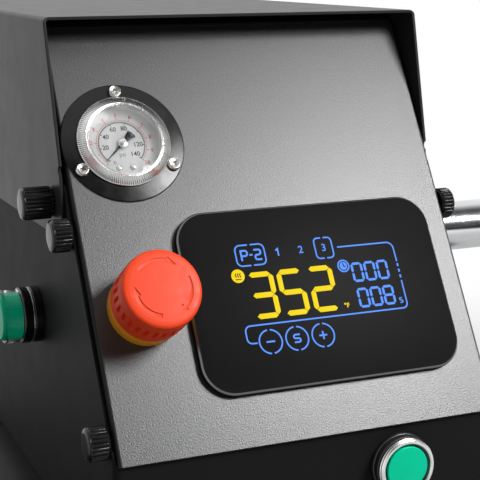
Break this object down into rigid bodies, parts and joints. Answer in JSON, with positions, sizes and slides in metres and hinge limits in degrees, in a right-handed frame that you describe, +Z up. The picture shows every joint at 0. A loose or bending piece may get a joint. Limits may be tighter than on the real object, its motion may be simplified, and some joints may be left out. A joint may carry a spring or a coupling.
{
  "type": "pneumatic heat press",
  "caption": "Swing-away pneumatic heat press with a slanted control panel, pressure gauge, emergency stop and a heated platen over a padded lower platen.",
  "frame": {"origin": "on the bench, under the middle of the machine's bounding box", "axes": "+Z up, +Y to the rear, +X to the operator's right"},
  "size_m": [0.512, 0.614, 0.6528],
  "materials": {
    "black_powder_coat": "fine-textured satin black powder coat",
    "frame_powder_coat": "black powder coat on thick steel",
    "machined_steel": "turned and ground steel",
    "zinc_steel": "bright zinc plated",
    "bearing_bronze": "sintered bronze",
    "cast_aluminium": "milled aluminium",
    "anodised_aluminium": "clear anodised",
    "platen_coating": "dark non-stick coating on aluminium",
    "silicone": "soft silicone foam",
    "foot_rubber": "moulded black rubber",
    "ceramic_wool": "needled fibre blanket",
    "chrome": "polished chrome",
    "black_plastic": "moulded black",
    "gloss_black": "polished black",
    "display_glass": "black backed glass with lit figures",
    "circuit_board": "green board",
    "dial_white": "white enamel with printed scale",
    "needle_black": "black enamel",
    "clear_glass": "clear",
    "bezel_steel": "knurled bright ring",
    "estop_red": "signal red, satin gloss",
    "estop_yellow": "signal yellow",
    "button_green": "green lens",
    "clear_plastic": "clear guard ring",
    "grip_rubber": "ribbed black grip"
  },
  "bodies": {
    "base": {"base_plate_front": "frame_powder_coat", "base_plate_rear": "frame_powder_coat", "base_rail_left": "frame_powder_coat", "base_rail_right": "frame_powder_coat", "rubber_feet": "foot_rubber", "swing_column": "machined_steel", "column_bolts": "zinc_steel", "column_nut": "zinc_steel", "stop_collar": "machined_steel", "pedestal": "frame_powder_coat", "lower_platen": "frame_powder_coat", "silicone_pad": "silicone"},
    "swing_head": {"swing_arm": "frame_powder_coat", "swing_bushes": "bearing_bronze", "cylinder_barrel": "anodised_aluminium", "cylinder_cap": "anodised_aluminium", "tie_rods": "zinc_steel", "guide_bushes": "bearing_bronze", "head_case": "black_powder_coat", "hood": "black_powder_coat", "control_panel": "black_powder_coat", "display_glass": "display_glass", "display_board": "circuit_board", "gauge_case": "gloss_black", "gauge_dial": "dial_white", "gauge_lens": "clear_glass", "gauge_bezel": "bezel_steel", "gauge_screws": "zinc_steel", "estop_collar": "estop_yellow", "contact_blocks": "black_plastic", "start_bezel": "bezel_steel", "side_collar": "gloss_black", "side_guard": "clear_plastic", "handle_socket": "black_powder_coat", "handle_bar": "chrome", "handle_grip": "grip_rubber", "rear_panel": "black_powder_coat", "power_inlet": "black_plastic", "regulator_body": "black_plastic", "regulator_bowl": "clear_plastic", "solenoid_valve": "anodised_aluminium"},
    "platen": {"heat_platen": "platen_coating", "insulation_blanket": "ceramic_wool", "platen_cover": "black_powder_coat", "hub_plate": "frame_powder_coat", "piston_rod": "chrome", "guide_rods": "chrome"},
    "gauge_needle": {"gauge_needle": "needle_black"},
    "estop_stem": {"estop_stem": "black_plastic"},
    "estop_head": {"estop_head": "estop_red"},
    "start_lens": {"start_lens": "button_green"},
    "side_lens": {"side_lens": "button_green"},
    "regulator_knob": {"regulator_knob": "black_plastic"},
    "power_switch": {"power_switch": "gloss_black"},
    "hood_knob_left": {"hood_knob_left": "gloss_black"},
    "panel_knob_upper_left": {"panel_knob_upper_left": "gloss_black"},
    "panel_knob_lower_left": {"panel_knob_lower_left": "gloss_black"},
    "hood_knob_right": {"hood_knob_right": "gloss_black"},
    "panel_knob_upper_right": {"panel_knob_upper_right": "gloss_black"},
    "panel_knob_lower_right": {"panel_knob_lower_right": "gloss_black"}
  },
  "joints": [
    {"name": "head_swing", "type": "hinge", "parent": "base", "child": "swing_head", "pos_m": [0, 0.193, 0.45], "axis": [0, 0, 1], "range_deg": [0, 90]},
    {"name": "platen_press", "type": "slide", "parent": "swing_head", "child": "platen", "axis": [0, 0, -1], "range_m": [0, 0.0445]},
    {"name": "estop_press", "type": "slide", "parent": "swing_head", "child": "estop_stem", "axis": [0, 0.8554, -0.518], "range_m": [0, 0.0045], "stiffness_N_per_m": 1500, "springref_m": -0.002},
    {"name": "estop_twist", "type": "hinge", "parent": "estop_stem", "child": "estop_head", "pos_m": [-0.0724, -0.25212, 0.53143], "axis": [0, 0.8554, -0.518], "range_deg": [0, 45], "stiffness_Nm_per_rad": 0.05},
    {"name": "start_press", "type": "slide", "parent": "swing_head", "child": "start_lens", "axis": [0, 1, 0], "range_m": [0, 0.0034], "stiffness_N_per_m": 700, "springref_m": -0.0015},
    {"name": "side_press", "type": "slide", "parent": "swing_head", "child": "side_lens", "axis": [1, 0, 0], "range_m": [0, 0.0034], "stiffness_N_per_m": 700, "springref_m": -0.0015},
    {"name": "gauge_pointer", "type": "hinge", "parent": "swing_head", "child": "gauge_needle", "pos_m": [-0.06755, -0.19171, 0.59258], "axis": [0, 0.8554, -0.518], "range_deg": [0, 270], "stiffness_Nm_per_rad": 0.00002, "springref_deg": -11.46},
    {"name": "regulator_turn", "type": "hinge", "parent": "swing_head", "child": "regulator_knob", "pos_m": [0.045, 0.284, 0.58], "axis": [0, 0, 1], "continuous": true},
    {"name": "power_rocker", "type": "hinge", "parent": "swing_head", "child": "power_switch", "pos_m": [-0.045, 0.258, 0.488], "axis": [-1, 0, 0], "range_deg": [0, 22]},
    {"name": "hood_knob_left_turn", "type": "hinge", "parent": "swing_head", "child": "hood_knob_left", "pos_m": [-0.1, -0.182, 0.5645], "axis": [-1, 0, 0], "continuous": true},
    {"name": "panel_knob_upper_left_turn", "type": "hinge", "parent": "swing_head", "child": "panel_knob_upper_left", "pos_m": [-0.1, -0.2073, 0.55293], "axis": [-1, 0, 0], "continuous": true},
    {"name": "panel_knob_lower_left_turn", "type": "hinge", "parent": "swing_head", "child": "panel_knob_lower_left", "pos_m": [-0.1, -0.2588, 0.4679], "axis": [-1, 0, 0], "continuous": true},
    {"name": "hood_knob_right_turn", "type": "hinge", "parent": "swing_head", "child": "hood_knob_right", "pos_m": [0.1, -0.182, 0.5645], "axis": [1, 0, 0], "continuous": true},
    {"name": "panel_knob_upper_right_turn", "type": "hinge", "parent": "swing_head", "child": "panel_knob_upper_right", "pos_m": [0.1, -0.2073, 0.55293], "axis": [1, 0, 0], "continuous": true},
    {"name": "panel_knob_lower_right_turn", "type": "hinge", "parent": "swing_head", "child": "panel_knob_lower_right", "pos_m": [0.1, -0.2588, 0.4679], "axis": [1, 0, 0], "continuous": true}
  ]
}
